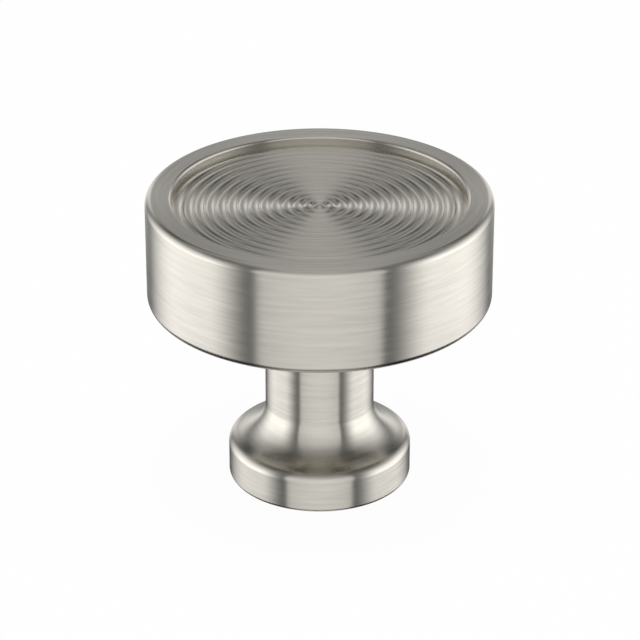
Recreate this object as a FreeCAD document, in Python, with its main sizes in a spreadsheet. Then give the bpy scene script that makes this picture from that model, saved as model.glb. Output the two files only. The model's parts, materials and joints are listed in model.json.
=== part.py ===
import FreeCAD, Part
import math
import os
import Sketcher

# A cabinet knob, one piece of metal turned about its own axis: a low round base that flows in an
# S-curve into the neck, and a drum-shaped head. The head's face is recessed inside a plain rim and carries a set of
# concentric rings. A blind tapped hole in the base takes the screw from inside the drawer front.
# The origin is the centre of the seat, the face that meets the drawer front, and +Z points away
# from the drawer front, towards the ringed face.

# Driving sizes, in millimetres and degrees
SIZES = {
    "knob_height": 28.6,
    "head_diameter": 32.0,
    "head_height": 10.2,
    "head_top_round": 0.7,
    "head_bottom_round": 0.7,
    "neck_diameter": 10.2,
    "neck_top_fillet": 0.6,
    "flare_radius": 3.6,
    "shoulder_radius": 0.9,
    "base_diameter": 17.2,
    "band_height": 3.1,
    "base_bottom_round": 0.4,
    "rim_width": 2.5,
    "rim_inner_round": 0.3,
    "recess_depth": 0.95,
    "ring_count": 13,
    "ring_height": 0.14,
    "ring_valley_radius": 0.4,
    "tap_drill_diameter": 3.45,
    "tap_drill_depth": 13.0,
    "drill_point_angle": 118.0,
    "countersink_diameter": 4.4,
    "countersink_angle": 90.0,
}

# Points of a sketch line or arc, and the sketch's own origin and axes
START = 1
END = 2
CENTRE = 3
ORIGIN = (-1, START)
AXIS = -2

# A quarter turn in radians, a full turn in degrees, and how close two places have to be to match
QUARTER = math.pi / 2
FULL_TURN = 360.0
NEAR = 1e-4


def size(name):
    """A driving size as a number, for the first shape of a sketch and to find an edge."""
    return SIZES[name]


def point(x, y):
    """A point of a sketch: x is the radius from the knob's axis, y the height above the seat."""
    return FreeCAD.Vector(x, y, 0)


def line(start, end):
    return Part.LineSegment(point(*start), point(*end))


def arc(centre, radius, start_angle, end_angle):
    """An arc of a sketch, which runs anticlockwise from its start angle, in radians."""
    circle = Part.Circle(point(*centre), FreeCAD.Vector(0, 0, 1), radius)
    return Part.ArcOfCircle(circle, start_angle, end_angle)


def add_sheet(doc):
    """Each driving size gets a cell of its own, named after it."""
    sheet = doc.addObject("Spreadsheet::Sheet", "Sizes")
    for row, (name, value) in enumerate(SIZES.items(), start=1):
        sheet.set(f"A{row}", name)
        sheet.set(f"B{row}", str(value))
        sheet.setAlias(f"B{row}", name)
    return sheet


def add_sketch(body, name, plane_role):
    """A sketch on one of the body's own origin planes."""
    sketch = body.newObject("Sketcher::SketchObject", name)
    plane = next(item for item in body.Origin.OriginFeatures if item.Role == plane_role)
    sketch.AttachmentSupport = [(plane, "")]
    sketch.MapMode = "FlatFace"
    return sketch


def add_rule(sketch, kind, *where):
    sketch.addConstraint(Sketcher.Constraint(kind, *where))


def add_dimension(sketch, name, kind, where, value, formula):
    """A named dimension of a sketch that follows the sheet."""
    index = sketch.addConstraint(Sketcher.Constraint(kind, *where, value))
    sketch.renameConstraint(index, name)
    sketch.setExpression(f"Constraints.{name}", formula)


def add_turned_outline(body):
    """Half of the knob's section. Above the base's upright band a convex shoulder arc meets the
    concave flare arc, which ends in the straight neck. The two arcs touch, so the distance between
    their centres is the sum of their radii, and that gives the slope at which they meet."""
    base_radius = size("base_diameter") / 2
    neck_radius = size("neck_diameter") / 2
    head_radius = size("head_diameter") / 2
    band_top = size("band_height")
    shoulder_radius = size("shoulder_radius")
    flare_radius = size("flare_radius")
    underside = size("knob_height") - size("head_height")
    top = size("knob_height")
    shoulder_centre = base_radius - shoulder_radius
    flare_centre = neck_radius + flare_radius
    centre_distance = shoulder_radius + flare_radius
    slope = math.acos((flare_centre - shoulder_centre) / centre_distance)
    flare_top = band_top + centre_distance * math.sin(slope)

    sketch = add_sketch(body, "turned_outline", "XZ_Plane")
    seat, band, shoulder, flare, neck, shelf, head_side, face, axis = sketch.addGeometry([
        line((0, 0), (base_radius, 0)),
        line((base_radius, 0), (base_radius, band_top)),
        arc((shoulder_centre, band_top), shoulder_radius, 0, slope),
        arc((flare_centre, flare_top), flare_radius, 2 * QUARTER, 2 * QUARTER + slope),
        line((neck_radius, flare_top), (neck_radius, underside)),
        line((neck_radius, underside), (head_radius, underside)),
        line((head_radius, underside), (head_radius, top)),
        line((head_radius, top), (0, top)),
        line((0, top), (0, 0)),
    ])
    add_rule(sketch, "Coincident", seat, START, *ORIGIN)
    add_rule(sketch, "Coincident", seat, END, band, START)
    add_rule(sketch, "Tangent", band, END, shoulder, START)
    add_rule(sketch, "Tangent", shoulder, END, flare, END)
    add_rule(sketch, "Tangent", flare, START, neck, START)
    for before, after in [(neck, shelf), (shelf, head_side), (head_side, face), (face, axis), (axis, seat)]:
        add_rule(sketch, "Coincident", before, END, after, START)
    for level in (seat, shelf, face):
        add_rule(sketch, "Horizontal", level)
    for upright in (band, neck, head_side, axis):
        add_rule(sketch, "Vertical", upright)

    dimensions = [
        ("base_radius", "DistanceX", (*ORIGIN, seat, END), base_radius, "Sizes.base_diameter / 2"),
        ("band_top", "DistanceY", (*ORIGIN, band, END), band_top, "Sizes.band_height"),
        ("shoulder_radius", "Radius", (shoulder,), shoulder_radius, "Sizes.shoulder_radius"),
        ("flare_radius", "Radius", (flare,), flare_radius, "Sizes.flare_radius"),
        ("neck_radius", "DistanceX", (*ORIGIN, neck, END), neck_radius, "Sizes.neck_diameter / 2"),
        ("head_radius", "DistanceX", (*ORIGIN, shelf, END), head_radius, "Sizes.head_diameter / 2"),
        ("underside", "DistanceY", (*ORIGIN, shelf, END), underside, "Sizes.knob_height - Sizes.head_height"),
        ("top", "DistanceY", (*ORIGIN, face, END), top, "Sizes.knob_height"),
    ]
    for dimension in dimensions:
        add_dimension(sketch, *dimension)
    return sketch


def add_ring_outline(body):
    """Half of the recess's section. Its floor is a wave of tangent arcs: a crest on the axis, a
    crest for each ring, a valley after each crest and the last valley at the foot of the wall."""
    count = int(size("ring_count"))
    height = size("ring_height")
    recess_radius = size("head_diameter") / 2 - size("rim_width")
    crest_level = size("knob_height") - size("recess_depth")
    valley_level = crest_level - height
    mouth = size("knob_height") + size("recess_depth")
    half_pitch = recess_radius / (2 * count + 1)
    centre_distance = (half_pitch ** 2 + height ** 2) / (2 * height)
    valley_radius = size("ring_valley_radius")
    crest_radius = centre_distance - valley_radius
    flank = math.asin(half_pitch / centre_distance)

    sketch = add_sketch(body, "ring_outline", "XZ_Plane")
    crests = []
    valleys = []
    for ring in range(count + 1):
        crest_centre = (2 * ring * half_pitch, crest_level - crest_radius)
        crest_end = QUARTER if ring == 0 else QUARTER + flank
        crests.append(sketch.addGeometry(arc(crest_centre, crest_radius, QUARTER - flank, crest_end)))
        valley_centre = ((2 * ring + 1) * half_pitch, valley_level + valley_radius)
        valley_end = 3 * QUARTER if ring == count else 3 * QUARTER + flank
        valleys.append(sketch.addGeometry(arc(valley_centre, valley_radius, 3 * QUARTER - flank, valley_end)))
    wall, lid, axis = sketch.addGeometry([
        line((recess_radius, valley_level), (recess_radius, mouth)),
        line((recess_radius, mouth), (0, mouth)),
        line((0, mouth), (0, crest_level)),
    ])

    dome = crests[0]
    foot = valleys[-1]
    for crest, valley in zip(crests, valleys):
        add_rule(sketch, "Tangent", crest, START, valley, START)
    for valley, crest in zip(valleys, crests[1:]):
        add_rule(sketch, "Tangent", valley, END, crest, END)
    for row in (crests, valleys):
        for before, after in zip(row, row[1:]):
            add_rule(sketch, "Equal", before, after)
            add_rule(sketch, "Horizontal", before, CENTRE, after, CENTRE)
    add_rule(sketch, "PointOnObject", dome, CENTRE, AXIS)
    add_rule(sketch, "PointOnObject", dome, END, AXIS)
    add_rule(sketch, "Vertical", foot, CENTRE, foot, END)
    for before, after in [(foot, wall), (wall, lid), (lid, axis)]:
        add_rule(sketch, "Coincident", before, END, after, START)
    add_rule(sketch, "Coincident", axis, END, dome, END)
    add_rule(sketch, "Vertical", wall)
    add_rule(sketch, "Horizontal", lid)
    add_rule(sketch, "Vertical", axis)

    dimensions = [
        ("recess_radius", "DistanceX", (*ORIGIN, foot, END), recess_radius,
         "Sizes.head_diameter / 2 - Sizes.rim_width"),
        ("crest_level", "DistanceY", (*ORIGIN, dome, END), crest_level,
         "Sizes.knob_height - Sizes.recess_depth"),
        ("valley_level", "DistanceY", (*ORIGIN, foot, END), valley_level,
         "Sizes.knob_height - Sizes.recess_depth - Sizes.ring_height"),
        ("valley_radius", "Radius", (foot,), valley_radius, "Sizes.ring_valley_radius"),
        ("mouth", "DistanceY", (*ORIGIN, wall, END), mouth, "Sizes.knob_height + Sizes.recess_depth"),
    ]
    for dimension in dimensions:
        add_dimension(sketch, *dimension)
    return sketch


def spin(body, kind, name, sketch):
    """Turns a half section all the way round the knob's axis, as metal or as a cut."""
    feature = body.newObject(kind, name)
    feature.Profile = sketch
    feature.ReferenceAxis = (sketch, ["V_Axis"])
    feature.Angle = FULL_TURN
    return feature


def circle_edge(shape, radius, level):
    """The name of the round edge that has this radius and height."""
    for number, edge in enumerate(shape.Edges, start=1):
        curve = edge.Curve
        if not isinstance(curve, Part.Circle):
            continue
        if abs(curve.Radius - radius) < NEAR and abs(curve.Center.z - level) < NEAR:
            return f"Edge{number}"
    raise RuntimeError(f"no round edge of radius {radius} at height {level}")


def add_round(doc, body, name, size_name, radius, level):
    """Rounds the edge at this radius and height, or fills it where it is an inner corner."""
    edge = circle_edge(body.Shape, radius, level)
    feature = body.newObject("PartDesign::Fillet", name)
    feature.Base = (feature.BaseFeature, [edge])
    feature.setExpression("Radius", f"Sizes.{size_name}")
    doc.recompute()
    return feature


def add_rounds(doc, body):
    head_radius = size("head_diameter") / 2
    underside = size("knob_height") - size("head_height")
    top = size("knob_height")
    add_round(doc, body, "seat_edge", "base_bottom_round", size("base_diameter") / 2, 0)
    add_round(doc, body, "neck_top", "neck_top_fillet", size("neck_diameter") / 2, underside)
    add_round(doc, body, "head_lower_edge", "head_bottom_round", head_radius, underside)
    add_round(doc, body, "head_upper_edge", "head_top_round", head_radius, top)
    add_round(doc, body, "rim_inner_edge", "rim_inner_round", head_radius - size("rim_width"), top)


def add_screw_hole(doc, body):
    """The blind tapped hole, drilled up from the centre of the seat and countersunk there. Its
    wall is the thread's core; the thread itself is too fine for the solid."""
    centre = add_sketch(body, "screw_hole_centre", "XY_Plane")
    circle = centre.addGeometry(Part.Circle(point(0, 0), FreeCAD.Vector(0, 0, 1), size("tap_drill_diameter") / 2))
    add_rule(centre, "Coincident", circle, CENTRE, *ORIGIN)
    add_dimension(centre, "drill", "Diameter", (circle,), size("tap_drill_diameter"), "Sizes.tap_drill_diameter")
    doc.recompute()
    hole = body.newObject("PartDesign::Hole", "screw_hole")
    hole.Profile = centre
    hole.Reversed = True
    hole.ThreadType = "None"
    hole.DepthType = "Dimension"
    hole.DrillPoint = "Angled"
    hole.HoleCutType = "Countersink"
    hole.setExpression("Diameter", "Sizes.tap_drill_diameter")
    hole.setExpression("Depth", "Sizes.tap_drill_depth")
    hole.setExpression("DrillPointAngle", "Sizes.drill_point_angle")
    hole.setExpression("HoleCutDiameter", "Sizes.countersink_diameter")
    hole.setExpression("HoleCutCountersinkAngle", "Sizes.countersink_angle")
    doc.recompute()
    return hole


def make_knob(doc):
    """The whole knob: turned outline, ringed recess, rounded edges, screw hole."""
    body = doc.addObject("PartDesign::Body", "knob")
    body.Label = "knob"
    spin(body, "PartDesign::Revolution", "turned_blank", add_turned_outline(body))
    doc.recompute()
    blank_volume = body.Shape.Volume
    spin(body, "PartDesign::Groove", "ringed_recess", add_ring_outline(body))
    doc.recompute()
    recessed_volume = body.Shape.Volume
    add_rounds(doc, body)
    rounded_volume = body.Shape.Volume
    hole = add_screw_hole(doc, body)
    body.Tip = hole
    doc.recompute()
    if not (recessed_volume < blank_volume and body.Shape.Volume < rounded_volume):
        raise RuntimeError("the recess or the screw hole cut nothing")
    print(f"recess cut {blank_volume - recessed_volume:.1f} mm3, "
          f"screw hole cut {rounded_volume - body.Shape.Volume:.1f} mm3")
    return body


def check_document(doc):
    """Stops if any object of the model failed."""
    for item in doc.Objects:
        if "Invalid" in item.State or "Error" in item.State:
            raise RuntimeError(f"{item.Name} failed: {item.State}")


def check_solid(item):
    shape = item.Shape
    if shape.isNull() or not shape.isValid() or len(shape.Solids) != 1:
        raise RuntimeError(f"{item.Label} is not one valid solid")
    box = shape.optimalBoundingBox(False, False)
    print(f"{item.Label}: volume {shape.Volume:.1f} mm3, {len(shape.Faces)} faces, "
          f"{box.XLength:.2f} x {box.YLength:.2f} x {box.ZLength:.2f} mm")


def main():
    doc = FreeCAD.newDocument("cabinet_knob")
    add_sheet(doc)
    doc.recompute()
    parts = [make_knob(doc)]
    check_document(doc)
    for item in parts:
        check_solid(item)
    os.makedirs("parts", exist_ok=True)
    for item in parts:
        item.Shape.exportStep(os.path.join("parts", f"{item.Label}.step"))


main()
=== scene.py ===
# %% [markdown]
# # A cabinet knob in brushed nickel
#
# The real knob is one piece of metal. It is turned on a lathe or cast and then finished on one,
# so every surface is a circle about one axis, and the finish is made of fine scratches that run
# round that axis. The lesson follows the same order: a half section, one spin, a thread, a
# brushed metal, and a light tent in which the metal can show its form.
#
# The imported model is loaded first. It is the knob at its real size, and what is made here has to
# fill the same box.

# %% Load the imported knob
import json
import math

import bmesh
import bpy
from mathutils import Matrix, Vector


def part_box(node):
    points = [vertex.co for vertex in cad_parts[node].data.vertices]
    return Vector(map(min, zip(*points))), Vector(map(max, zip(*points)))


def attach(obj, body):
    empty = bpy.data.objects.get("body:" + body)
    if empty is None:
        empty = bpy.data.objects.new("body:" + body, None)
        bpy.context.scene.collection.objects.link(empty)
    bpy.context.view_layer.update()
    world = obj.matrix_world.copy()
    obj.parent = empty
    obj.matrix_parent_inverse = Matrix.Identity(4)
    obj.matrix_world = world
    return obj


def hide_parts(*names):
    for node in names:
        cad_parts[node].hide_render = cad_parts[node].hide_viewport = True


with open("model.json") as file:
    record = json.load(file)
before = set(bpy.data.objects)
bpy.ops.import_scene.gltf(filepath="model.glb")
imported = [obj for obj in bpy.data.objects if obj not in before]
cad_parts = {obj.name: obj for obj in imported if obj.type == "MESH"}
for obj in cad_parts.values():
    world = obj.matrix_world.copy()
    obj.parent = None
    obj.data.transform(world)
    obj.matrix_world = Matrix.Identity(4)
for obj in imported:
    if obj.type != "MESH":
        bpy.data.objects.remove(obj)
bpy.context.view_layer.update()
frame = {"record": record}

node_low, node_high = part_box("knob")
print("packed knob, mm:", [round(v * 1000, 2) for v in node_high - node_low])

# %% [markdown]
# ## The camera
#
# A product picture of a small part is taken with a long lens from well away, so that circles stay
# true and the sides hardly converge. Its place is given the way a photographer would say it: how
# far from the knob, how high above the table, and the point that it looks at. The lens is counted
# for a 36 mm wide sensor, and the picture is square.

# %% Place the camera
MM = 0.001
SENSOR_WIDTH = 36.0
PICTURE_WIDTH = 640
FOCAL_LENGTH = 170.8
CAMERA_DISTANCE = 283.3 * MM
CAMERA_ELEVATION = math.radians(26.85)
AIM_HEIGHT = 15.81 * MM
AXIS_LEFT_OF_CENTRE = 0.42

camera_data = bpy.data.cameras.new("camera")
camera_data.lens = FOCAL_LENGTH
camera_data.sensor_width = SENSOR_WIDTH
camera_data.shift_x = AXIS_LEFT_OF_CENTRE / PICTURE_WIDTH
camera_data.clip_start = MM
camera = bpy.data.objects.new("camera", camera_data)
towards_camera = Vector((0, -math.cos(CAMERA_ELEVATION), math.sin(CAMERA_ELEVATION)))
camera.location = Vector((0, 0, AIM_HEIGHT)) + CAMERA_DISTANCE * towards_camera
camera.rotation_euler = towards_camera.to_track_quat("Z", "Y").to_euler()
bpy.context.scene.collection.objects.link(camera)
bpy.context.scene.camera = camera
print("camera at, mm:", [round(v / MM, 1) for v in camera.location])

# %% [markdown]
# ## The half section
#
# A turned part is fully described by half of its section. It could be a curve that the Screw
# modifier lathes, but a curve only comes near to a true arc, and a real drawing is made of
# straight runs and arcs that touch without a kink. So it is drawn here as a machinist draws it,
# with a pen that starts at the point of the drilled hole and walks round the metal: a straight run
# is an extruded vertex, and an arc is a vertex that is spun about the arc's centre. The overall
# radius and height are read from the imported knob.

# %% Name the sizes of the section
HEAD_RADIUS = node_high.x
KNOB_HEIGHT = node_high.z
HEAD_HEIGHT = 10.2 * MM
NECK_RADIUS = 5.1 * MM
BASE_RADIUS = 8.6 * MM
BAND_HEIGHT = 3.1 * MM
RIM_WIDTH = 2.4 * MM
RECESS_DEPTH = 0.95 * MM
RING_HEIGHT = 0.18 * MM
COUNTERSINK_RADIUS = 2.2 * MM
DRILL_DEPTH = 13.0 * MM
DRILL_POINT = math.radians(118.0)

SEAT_ROUND = 0.4 * MM
SHOULDER_ROUND = 0.9 * MM
FLARE_ROUND = 3.6 * MM
NECK_TOP_ROUND = 0.6 * MM
HEAD_LOWER_ROUND = 0.7 * MM
HEAD_UPPER_ROUND = 0.7 * MM
RIM_INNER_ROUND = 0.3 * MM

mounts = {mount["name"]: mount for mount in frame["record"]["mounts"]}
BORE_RADIUS = mounts["screw_hole"]["dims"]["r_mm"] * MM
UNDERSIDE = KNOB_HEIGHT - HEAD_HEIGHT
RECESS_RADIUS = HEAD_RADIUS - RIM_WIDTH
CREST_LEVEL = KNOB_HEIGHT - RECESS_DEPTH
VALLEY_LEVEL = CREST_LEVEL - RING_HEIGHT
COUNTERSINK_DEPTH = COUNTERSINK_RADIUS - BORE_RADIUS
DRILL_TIP = DRILL_DEPTH + BORE_RADIUS / math.tan(DRILL_POINT / 2)
print("bore radius from the record, mm:", round(BORE_RADIUS / MM, 3))

# %% [markdown]
# The base has the form that makes this knob look soft although it is a plain turned shape: above
# a short upright band, a convex shoulder flows into the concave flare of the neck. The two arcs
# touch, so their centres are as far apart as both radii together. That gives the angle at which
# they meet and the height where the flare ends in the straight neck.

# %% Work out where the shoulder meets the flare
QUARTER = math.pi / 2

both_rounds = SHOULDER_ROUND + FLARE_ROUND
centres_apart = (NECK_RADIUS + FLARE_ROUND) - (BASE_RADIUS - SHOULDER_ROUND)
MEETING_ANGLE = math.acos(centres_apart / both_rounds)
FLARE_TOP = BAND_HEIGHT + both_rounds * math.sin(MEETING_ANGLE)
print("shoulder meets flare at, degrees:", round(math.degrees(MEETING_ANGLE), 1),
      "flare ends at, mm:", round(FLARE_TOP / MM, 2))

# %% [markdown]
# The rings are made of two such pairs of arcs: one from crest to valley, and a wider one from the
# small dome on the axis to the first valley.

# %% Work out the arcs of the rings
RING_COUNT = 13
DOME_RADIUS = 0.6 * MM
VALLEY_ARC = 0.15 * MM

RING_PITCH = (RECESS_RADIUS - DOME_RADIUS) / RING_COUNT


def touching_arcs(reach, height):
    """Both radii together, and the slope where they meet, for arcs this far apart and high."""
    both = (reach ** 2 + height ** 2) / (2 * height)
    return both, math.asin(reach / both)


both_arcs, FLANK = touching_arcs(RING_PITCH / 2, RING_HEIGHT)
both_dome_arcs, DOME_FLANK = touching_arcs(DOME_RADIUS, RING_HEIGHT)
CREST_ARC = both_arcs - VALLEY_ARC
DOME_ARC = both_dome_arcs - VALLEY_ARC
print("crest arc, mm:", round(CREST_ARC / MM, 2), "dome arc, mm:", round(DOME_ARC / MM, 2))

# %% Make the pen
STEPS_PER_QUARTER = 12


class Pen:
    """Draws a section in the plane of X and Z, as a chain of edges."""

    def __init__(self, mesh, radius, height):
        self.mesh = mesh
        self.tip = mesh.verts.new((radius, 0, height))

    def line(self, radius, height):
        made = bmesh.ops.extrude_vert_indiv(self.mesh, verts=[self.tip])
        self.tip = made["verts"][0]
        self.tip.co = (radius, 0, height)

    def arc(self, radius, height, turn, steps=None):
        """Turns about a centre, anticlockwise where turn is positive."""
        steps = steps or math.ceil(abs(turn) / QUARTER * STEPS_PER_QUARTER)
        made = bmesh.ops.spin(self.mesh, geom=[self.tip], cent=(radius, 0, height), axis=(0, -1, 0),
                              angle=turn, steps=steps, use_duplicate=False)
        self.tip = made["geom_last"][0]


# %% [markdown]
# The walk starts in the hole, because a screw has to find it: a drilled point, a straight wall and
# a small countersink that keeps the first thread from raising a burr. From there it goes over the
# seat, up the band, through shoulder and flare, and along the neck to the head.

# %% Draw the hole, the base and the neck
SHOULDER_STEPS = 14
FLARE_STEPS = 24

section = bmesh.new()
pen = Pen(section, 0, DRILL_TIP)
pen.line(BORE_RADIUS, DRILL_DEPTH)
pen.line(BORE_RADIUS, COUNTERSINK_DEPTH)
pen.line(COUNTERSINK_RADIUS, 0)
pen.line(BASE_RADIUS - SEAT_ROUND, 0)
pen.arc(BASE_RADIUS - SEAT_ROUND, SEAT_ROUND, QUARTER)
pen.line(BASE_RADIUS, BAND_HEIGHT)
pen.arc(BASE_RADIUS - SHOULDER_ROUND, BAND_HEIGHT, MEETING_ANGLE, SHOULDER_STEPS)
pen.arc(NECK_RADIUS + FLARE_ROUND, FLARE_TOP, -MEETING_ANGLE, FLARE_STEPS)
pen.line(NECK_RADIUS, UNDERSIDE - NECK_TOP_ROUND)
pen.arc(NECK_RADIUS + NECK_TOP_ROUND, UNDERSIDE - NECK_TOP_ROUND, -QUARTER)
print("base and neck:", len(section.verts), "points, pen at, mm:",
      [round(v / MM, 2) for v in pen.tip.co])

# %% Draw the head as far as the foot of the recess
pen.line(HEAD_RADIUS - HEAD_LOWER_ROUND, UNDERSIDE)
pen.arc(HEAD_RADIUS - HEAD_LOWER_ROUND, UNDERSIDE + HEAD_LOWER_ROUND, QUARTER)
pen.line(HEAD_RADIUS, KNOB_HEIGHT - HEAD_UPPER_ROUND)
pen.arc(HEAD_RADIUS - HEAD_UPPER_ROUND, KNOB_HEIGHT - HEAD_UPPER_ROUND, QUARTER)
pen.line(RECESS_RADIUS + RIM_INNER_ROUND, KNOB_HEIGHT)
pen.arc(RECESS_RADIUS + RIM_INNER_ROUND, KNOB_HEIGHT - RIM_INNER_ROUND, QUARTER)
pen.line(RECESS_RADIUS, VALLEY_LEVEL)
print("with the head:", len(section.verts), "points")

# %% [markdown]
# ## The ringed floor of the recess
#
# The floor is not flat: a form tool has left rounded rings with narrow valleys between them. Seen
# in section it is a wave made of two arcs that flow into each other, a wide one over each crest
# and a tight one through each valley. A sine would be close, but its crests are too narrow to give
# the broad bright band that each ring shows, and its valleys too soft for the thin dark lines. The
# pen rocks between the two kinds of arc, from the wall's foot to the dome on the axis.

# %% Draw the wave of rings
VALLEY_STEPS = 4
CREST_STEPS = 6

pen.arc(RECESS_RADIUS, VALLEY_LEVEL + VALLEY_ARC, -FLANK, VALLEY_STEPS)
for ring in range(RING_COUNT, 0, -1):
    crest = DOME_RADIUS + (ring - 0.5) * RING_PITCH
    valley = DOME_RADIUS + (ring - 1) * RING_PITCH
    inner_flank = FLANK if ring > 1 else DOME_FLANK
    pen.arc(crest, CREST_LEVEL - CREST_ARC, 2 * FLANK, 2 * CREST_STEPS)
    pen.arc(valley, VALLEY_LEVEL + VALLEY_ARC, -FLANK - inner_flank, 2 * VALLEY_STEPS)
pen.arc(0, CREST_LEVEL - DOME_ARC, DOME_FLANK, CREST_STEPS)
print("ring pitch, mm:", round(RING_PITCH / MM, 3),
      "steepest flank, degrees:", round(math.degrees(FLANK), 1),
      "pen at, mm:", [round(v / MM, 3) for v in pen.tip.co])

# %% [markdown]
# ## The screw thread
#
# The knob is held by a No. 8-32 machine screw, so its hole is tapped: a 60 degree groove winds up
# the wall, 32 turns to the inch. The groove could be cut with a Boolean, but a Boolean with a long
# helix is slow and leaves bad faces. Instead the straight wall gets closely spaced rows before
# the spin, and after it each vertex moves outwards by the depth of the groove at its own angle
# and height. The mesh stays closed and even.

# %% Space rows along the threaded wall
THREAD_PITCH = 25.4 * MM / 32
THREAD_TOP = 10.0 * MM
THREAD_ROWS_PER_TURN = 8
THREAD_DEPTH = 0.33 * MM
GROOVE_HALF_WIDTH = 7 / 16
SAME_PLACE = 1e-7

wall_edge = next(edge for edge in section.edges
                 if all(abs(vert.co.x - BORE_RADIUS) < SAME_PLACE for vert in edge.verts))
rows = round((DRILL_DEPTH - COUNTERSINK_DEPTH) / THREAD_PITCH * THREAD_ROWS_PER_TURN)
bmesh.ops.subdivide_edges(section, edges=[wall_edge], cuts=rows)
print("rows along the drilled wall:", rows)

# %% [markdown]
# ## One spin makes the whole knob
#
# Spin is the mesh version of the lathe. With use_merge the last step joins the first, and the
# points on the axis, which every step repeats, are merged afterwards so that both poles close.

# %% Spin the section and cut the thread
SPIN_STEPS = 192

bmesh.ops.spin(section, geom=list(section.verts) + list(section.edges), cent=(0, 0, 0), axis=(0, 0, 1),
               angle=math.tau, steps=SPIN_STEPS, use_merge=True, use_duplicate=False)
bmesh.ops.remove_doubles(section, verts=section.verts, dist=SAME_PLACE)


def groove_depth(vert):
    """How far the thread's groove pushes the wall outwards at this vertex."""
    turn = math.atan2(vert.co.y, vert.co.x) / math.tau
    along = (vert.co.z / THREAD_PITCH - turn) % 1
    groove = max(0, 1 - abs(along - 0.5) / GROOVE_HALF_WIDTH)
    room = min(vert.co.z - COUNTERSINK_DEPTH, THREAD_TOP - vert.co.z) / THREAD_PITCH
    return THREAD_DEPTH * groove * min(1, max(0, room))


for vert in section.verts:
    radius = math.hypot(vert.co.x, vert.co.y)
    if abs(radius - BORE_RADIUS) < SAME_PLACE and vert.co.z < THREAD_TOP:
        widening = 1 + groove_depth(vert) / radius
        vert.co.x *= widening
        vert.co.y *= widening

bmesh.ops.recalc_face_normals(section, faces=section.faces)
open_edges = sum(not edge.is_manifold for edge in section.edges)
print("faces:", len(section.faces), "open edges:", open_edges, "volume, mm3:",
      round(section.calc_volume() / MM ** 3, 1))

# %% [markdown]
# ## Smooth shading that keeps the flats flat
#
# A polished edge has to flow into a truly flat face. Plain smooth shading averages the normals
# where they meet, which bends the light across the whole flat. A Weighted Normal modifier cures
# this; the same rule is written out here, so that nothing is left live on the piece: each face
# counts by its area, and a large flat wins over the narrow strips of a rounding.

# %% Make the knob's object
def area_normal(vert):
    total = Vector()
    for face in vert.link_faces:
        total += face.calc_area() * face.normal
    return total.normalized()


section.normal_update()
normals = [area_normal(vert) for vert in section.verts]
for face in section.faces:
    face.smooth = True
knob_mesh = bpy.data.meshes.new("turned_knob")
section.to_mesh(knob_mesh)
section.free()
knob_mesh.normals_split_custom_set_from_vertices(normals)
knob = bpy.data.objects.new("turned_knob", knob_mesh)
bpy.context.scene.collection.objects.link(knob)
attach(knob, "root")
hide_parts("knob")
knob_mesh.calc_loop_triangles()
print("triangles:", len(knob_mesh.loop_triangles))

# %% [markdown]
# ## Brushed nickel
#
# Satin nickel is a warm grey metal, a little yellower than steel. The knob was brushed while it
# turned, so the scratches run round the axis on the side, on the rim and over the rings alike. Two
# things show them. The first is stretched reflections: light spreads across the scratches much
# further than along them, which the shader calls anisotropy. Its direction is given by a tangent
# that runs round the axis. The second is the faint streaks themselves.

# %% Small helpers for node trees
def add_node(tree, kind, inputs, **settings):
    """Adds a node; its inputs are given by name or number, as a value or as the socket to link."""
    node = tree.nodes.new(kind)
    for name, value in settings.items():
        setattr(node, name, value)
    for key, value in inputs.items():
        if isinstance(value, bpy.types.NodeSocket):
            tree.links.new(value, node.inputs[key])
        else:
            node.inputs[key].default_value = value
    return node


def calculate(tree, operation, *values):
    """A Math node, returned as its output socket."""
    return add_node(tree, "ShaderNodeMath", dict(enumerate(values)), operation=operation).outputs[0]


def calculate_vector(tree, operation, *values):
    """A Vector Math node; a length comes out of its second output."""
    node = add_node(tree, "ShaderNodeVectorMath", dict(enumerate(values)), operation=operation)
    return node.outputs["Value" if operation == "LENGTH" else "Vector"]


def combine(tree, **parts):
    return add_node(tree, "ShaderNodeCombineXYZ", parts).outputs[0]


# %% [markdown]
# The streaks are one noise that is stretched round the knob. If it read X, Y and Z evenly it would
# make spots; if it read an angle it would show a seam. So it reads X and Y at a coarse scale, which
# sets how long a streak is, and the height and the radius at a fine scale, which sets how thin it
# is on the side and on the face. A four dimensional noise has room for all of these.
#
# Real scratches aren't quite parallel either. Each one leans a little, and with it the way it
# spreads the light. That frays the edges of the dark bars, and it is done by leaning the tangent
# by the same kind of noise.

# %% Build the brushed nickel
NICKEL = (0.80, 0.768, 0.70, 1.0)
NICKEL_DARK = (0.67, 0.643, 0.586, 1.0)
ROUGHNESS = 0.22
ROUGHNESS_SPREAD = 0.03
ANISOTROPY = 0.93
SCRATCH_LEAN = 0.08
QUARTER_TURN = 0.25
FINE_STREAKS = {"along": 0.22, "across": 3.2, "detail": 1.0}
BROAD_STREAKS = {"along": 0.1, "across": 1.2, "detail": 2.0}
FINE_SHARE = 0.7
NOISE_LOW = 0.25
NOISE_HIGH = 0.75


def round_the_axis(tree):
    """Sockets for the place, the radius, the height and the direction round the axis."""
    place = add_node(tree, "ShaderNodeTexCoord", {}).outputs["Object"]
    parts = add_node(tree, "ShaderNodeSeparateXYZ", {"Vector": place}).outputs
    flat = combine(tree, X=parts["X"], Y=parts["Y"])
    round_way = combine(tree, X=calculate(tree, "MULTIPLY", parts["Y"], -1.0), Y=parts["X"])
    turned = add_node(tree, "ShaderNodeVectorTransform", {"Vector": round_way},
                      vector_type="VECTOR", convert_from="OBJECT", convert_to="WORLD")
    radius = calculate_vector(tree, "LENGTH", flat)
    tangent = calculate_vector(tree, "NORMALIZE", turned.outputs[0])
    return flat, radius, parts["Z"], tangent


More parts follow.
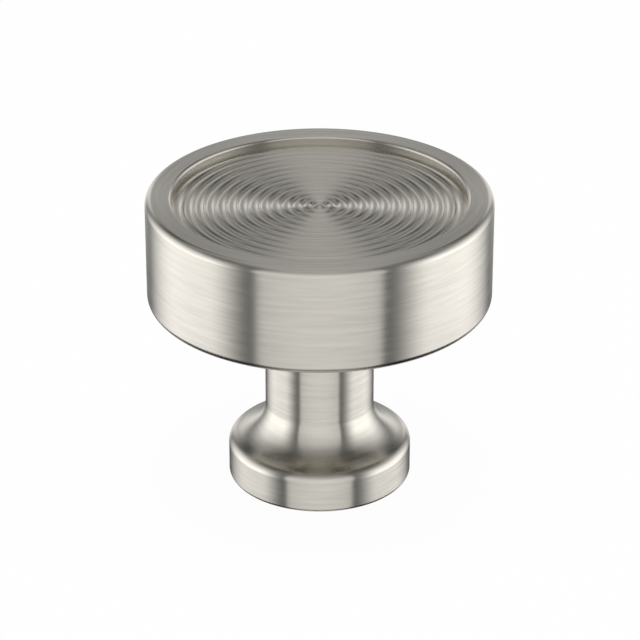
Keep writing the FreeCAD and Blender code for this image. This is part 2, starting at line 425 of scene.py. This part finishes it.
def streaks(tree, flat, radius, height, along, across, detail):
    """A noise from 0 to 1 with this many turns to the millimetre along and across the scratches."""
    spread = calculate_vector(tree, "MULTIPLY", flat, (along / MM, along / MM, 0.0))
    lift = combine(tree, Z=calculate(tree, "MULTIPLY", height, across / MM))
    place = calculate_vector(tree, "ADD", spread, lift)
    outward = calculate(tree, "MULTIPLY", radius, across / MM)
    noise = add_node(tree, "ShaderNodeTexNoise", {}, noise_dimensions="4D")
    noise.inputs["Scale"].default_value = 1.0
    noise.inputs["Detail"].default_value = detail
    tree.links.new(place, noise.inputs["Vector"])
    tree.links.new(outward, noise.inputs["W"])
    return noise.outputs["Fac"]


def stretch(tree, value, low, high):
    """Spreads the noise, which keeps close to its middle, over this range."""
    return add_node(tree, "ShaderNodeMapRange", {
        "Value": value, "From Min": NOISE_LOW, "From Max": NOISE_HIGH,
        "To Min": low, "To Max": high}).outputs[0]


def brushed_nickel():
    material = bpy.data.materials.new("brushed_nickel")
    material.use_nodes = True
    tree = material.node_tree
    shader = tree.nodes["Principled BSDF"]
    flat, radius, height, tangent = round_the_axis(tree)
    fine = streaks(tree, flat, radius, height, **FINE_STREAKS)
    broad = streaks(tree, flat, radius, height, **BROAD_STREAKS)
    both = calculate(tree, "ADD", calculate(tree, "MULTIPLY", fine, FINE_SHARE),
                     calculate(tree, "MULTIPLY", broad, 1 - FINE_SHARE))
    tone = add_node(tree, "ShaderNodeMix", {
        0: stretch(tree, both, 0.0, 1.0), 6: NICKEL_DARK, 7: NICKEL}, data_type="RGBA")
    rough = stretch(tree, broad, ROUGHNESS - ROUGHNESS_SPREAD, ROUGHNESS + ROUGHNESS_SPREAD)
    outside = add_node(tree, "ShaderNodeNewGeometry", {}).outputs["Normal"]
    across_way = calculate_vector(tree, "CROSS_PRODUCT", outside, tangent)
    lean = add_node(tree, "ShaderNodeVectorMath", {0: across_way}, operation="SCALE")
    tree.links.new(stretch(tree, both, -SCRATCH_LEAN, SCRATCH_LEAN), lean.inputs["Scale"])
    leant = calculate_vector(tree, "ADD", tangent, lean.outputs[0])
    leaning = calculate_vector(tree, "NORMALIZE", leant)
    shader.inputs["Metallic"].default_value = 1.0
    shader.inputs["Anisotropic"].default_value = ANISOTROPY
    shader.inputs["Anisotropic Rotation"].default_value = QUARTER_TURN
    tree.links.new(tone.outputs[2], shader.inputs["Base Color"])
    tree.links.new(rough, shader.inputs["Roughness"])
    tree.links.new(leaning, shader.inputs["Tangent"])
    return material


knob_mesh.materials.append(brushed_nickel())
print("material:", knob_mesh.materials[0].name)

# %% [markdown]
# ## Floor
#
# The floor is plain and pale, and all that it shows is the knob's soft shadow. Mirror-like rays
# pass through it and see the lower part of the tent instead, because a sheet of paper that the
# knob stood on would light its underside evenly and flatten the form. It lies a hair below the seat,
# since two faces in one plane would fight, and it is clear from below, so that the seat and the
# hole can be looked at too.

# %% Lay the floor
FLOOR_HALF_WIDTH = 1.5
FLOOR_LIFT = 0.97
FLOOR_LEVEL = -0.02 * MM
FLOOR_GREY = (0.93, 0.93, 0.93, 1.0)
WHITE = (1.0, 1.0, 1.0, 1.0)

floor_bmesh = bmesh.new()
bmesh.ops.create_grid(floor_bmesh, x_segments=1, y_segments=1, size=FLOOR_HALF_WIDTH,
                      matrix=Matrix.Translation((0, 0, FLOOR_LEVEL)))
floor_mesh = bpy.data.meshes.new("floor")
floor_bmesh.to_mesh(floor_mesh)
floor_bmesh.free()
floor = bpy.data.objects.new("floor", floor_mesh)
bpy.context.scene.collection.objects.link(floor)
floor.visible_glossy = False


def pale_floor():
    material = bpy.data.materials.new("pale_floor")
    material.use_nodes = True
    tree = material.node_tree
    matt = tree.nodes["Principled BSDF"]
    matt.inputs["Base Color"].default_value = FLOOR_GREY
    matt.inputs["Roughness"].default_value = 1.0
    matt.inputs["Specular IOR Level"].default_value = 0.0
    paper = add_node(tree, "ShaderNodeEmission", {"Color": WHITE})
    seen = add_node(tree, "ShaderNodeLightPath", {}).outputs["Is Camera Ray"]
    lifted = calculate(tree, "MULTIPLY", seen, FLOOR_LIFT)
    blend = add_node(tree, "ShaderNodeMixShader", {0: lifted, 1: matt.outputs[0], 2: paper.outputs[0]})
    clear = add_node(tree, "ShaderNodeBsdfTransparent", {})
    from_below = add_node(tree, "ShaderNodeNewGeometry", {}).outputs["Backfacing"]
    either = add_node(tree, "ShaderNodeMixShader", {
        0: from_below, 1: blend.outputs[0], 2: clear.outputs[0]})
    tree.links.new(either.outputs[0], tree.nodes["Material Output"].inputs["Surface"])
    return material


floor_mesh.materials.append(pale_floor())

# %% [markdown]
# ## Light tent
#
# Metal has no look of its own: it shows what stands round it. A photographer puts a small metal
# part into a light tent, with wide soft panels to the front and to both sides and dark gaps
# between them. The gaps draw the dark upright bars on the knob's side, and the head's own shadow
# side draws the dark hollow over the base. The world here is that tent, painted by direction
# only, so it stays where it is when the camera moves.
#
# Each panel is a rectangle with feathered edges. Its sides are given as angles from the front,
# the same to the left and to the right, its lower and upper edge as angles above the horizon, and
# each edge has its own feather. Where panels overlap, their light adds up, as in a real tent. The
# last two stand for the table under and behind the knob, which brightens its lower edges.
#
# These numbers weren't chosen by eye. A least squares fit looked for the panels that bring the
# knob's tones near those of a product photograph, and its result was rounded to whole degrees. All
# but the last two panels come from it. They could be set by hand in the same way as a photographer
# moves cards, one panel at a time, and a simpler tent of four or five panels would be a fair start.

# %% List the panels of the tent
FACING = -30
BEHIND = 230
LOWEST = -120
PANELS = {
    "front card": {"sides": (FACING, 42), "feather": (5, 3),
                   "edges": (-53, 37), "fade": (24, 30), "light": 0.53},
    "front middle": {"sides": (FACING, 43), "feather": (5, 40),
                     "edges": (-46, 70), "fade": (8, 16), "light": 0.32},
    "side box": {"sides": (60, 134), "feather": (18, 28),
                 "edges": (-31, 27), "fade": (5, 40), "light": 1.54},
    "rear card": {"sides": (154, 168), "feather": (10, 14),
                  "edges": (-23, 28), "fade": (7, 12), "light": 1.13},
    "rear wall": {"sides": (175, BEHIND), "feather": (6, 5),
                  "edges": (-1, 47), "fade": (45, 8), "light": 0.5},
    "rear glow": {"sides": (139, BEHIND), "feather": (32, 5),
                  "edges": (44, 63), "fade": (7, 11), "light": 0.48},
    "ceiling": {"sides": (FACING, BEHIND), "feather": (5, 5),
                "edges": (64, 200), "fade": (13, 5), "light": 0.44},
    "table behind": {"sides": (145, BEHIND), "feather": (12, 5),
                     "edges": (LOWEST, -35), "fade": (5, 8), "light": 0.6},
    "table below": {"sides": (FACING, 145), "feather": (5, 12),
                    "edges": (LOWEST, -74), "fade": (5, 8), "light": 0.5},
}

# %% Hang the light tent
world = bpy.data.worlds.new("light_tent")
bpy.context.scene.world = world
world.use_nodes = True
sky = world.node_tree
outlook = add_node(sky, "ShaderNodeTexCoord", {}).outputs["Generated"]
way = add_node(sky, "ShaderNodeSeparateXYZ", {"Vector": outlook}).outputs
aside = calculate(sky, "ABSOLUTE", way["X"])
ahead = calculate(sky, "MULTIPLY", way["Y"], -1.0)
from_front = calculate(sky, "ARCTAN2", aside, ahead)
above_horizon = calculate(sky, "ARCSINE", way["Z"])


def soft_step(angle, edge, feather, rises):
    """Fades from 0 to 1 over the edge, or from 1 to 0."""
    fade = add_node(sky, "ShaderNodeMapRange", {
        "Value": angle,
        "From Min": math.radians(edge - feather), "From Max": math.radians(edge + feather),
        "To Min": 0.0 if rises else 1.0, "To Max": 1.0 if rises else 0.0},
        interpolation_type="SMOOTHSTEP")
    return fade.outputs[0]


def panel_light(sides, feather, edges, fade, light):
    width = calculate(sky, "MULTIPLY", soft_step(from_front, sides[0], feather[0], True),
                      soft_step(from_front, sides[1], feather[1], False))
    height = calculate(sky, "MULTIPLY", soft_step(above_horizon, edges[0], fade[0], True),
                       soft_step(above_horizon, edges[1], fade[1], False))
    return calculate(sky, "MULTIPLY", calculate(sky, "MULTIPLY", width, height), light)


tent = 0.0
for name, panel in PANELS.items():
    tent = calculate(sky, "ADD", tent, panel_light(**panel))
    print("panel:", name)
sky_path = add_node(sky, "ShaderNodeLightPath", {}).outputs["Is Camera Ray"]
shown = add_node(sky, "ShaderNodeMix", {0: sky_path, 2: tent, 3: 1.0}, data_type="FLOAT")
sky.links.new(shown.outputs[0], sky.nodes["Background"].inputs["Color"])

# %% [markdown]
# One round lamp hangs straight above, for the shadow on the floor alone. The metal doesn't show it,
# since its whole light comes from the tent.

# %% Hang the lamp over the knob
LAMP_WIDTH = 0.25
LAMP_POWER = 1.2
LAMP_HEIGHT = 0.5

lamp_data = bpy.data.lights.new("overhead", "AREA")
lamp_data.shape = "DISK"
lamp_data.size = LAMP_WIDTH
lamp_data.energy = LAMP_POWER
lamp = bpy.data.objects.new("overhead", lamp_data)
lamp.location = (0, 0, LAMP_HEIGHT)
lamp.visible_glossy = False
bpy.context.scene.collection.objects.link(lamp)

bpy.context.scene.view_settings.view_transform = "Standard"
